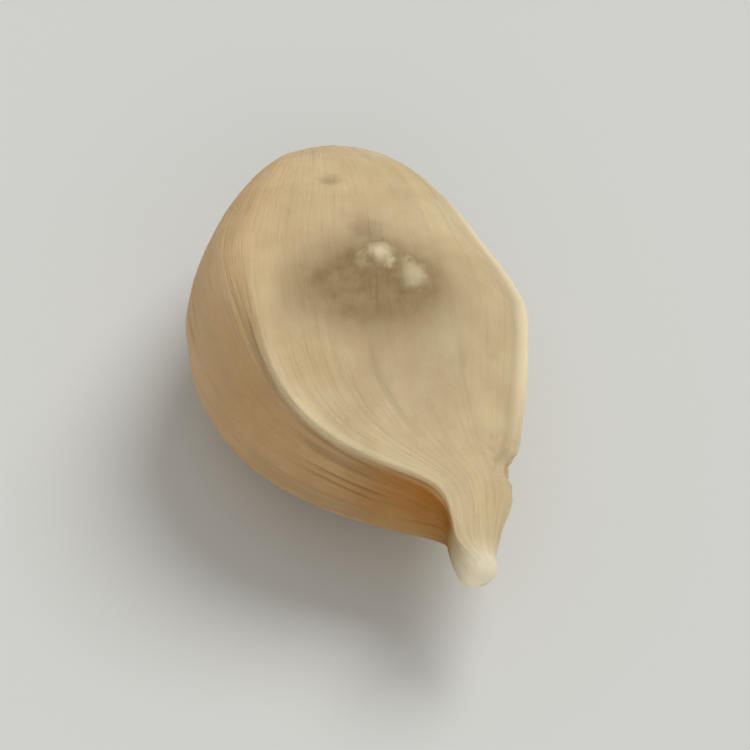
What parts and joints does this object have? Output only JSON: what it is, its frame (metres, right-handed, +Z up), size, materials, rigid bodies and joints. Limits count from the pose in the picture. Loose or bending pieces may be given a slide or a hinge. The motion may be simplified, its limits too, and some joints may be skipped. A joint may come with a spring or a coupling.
{
  "type": "tangerine seed",
  "caption": "Dried citrus seed: an egg-shaped body with a broad dented face, a keel along one edge, a ridge down the other side and a blunt beak. Rests on a small flat spot.",
  "frame": {"origin": "middle of the seed's box, on the surface that the seed lies on", "axes": "+X along the seed towards its beak, +Y towards its keel, +Z up"},
  "size_m": [0.0104, 0.006, 0.0041],
  "materials": {
    "seed_coat": "dry papery seed coat, greyish cream, satin to matt, faintly fibrous along its length, paler on the keel and beak, tan beside the beak"
  },
  "bodies": {
    "root": {"seed": "seed_coat"}
  },
  "joints": []
}
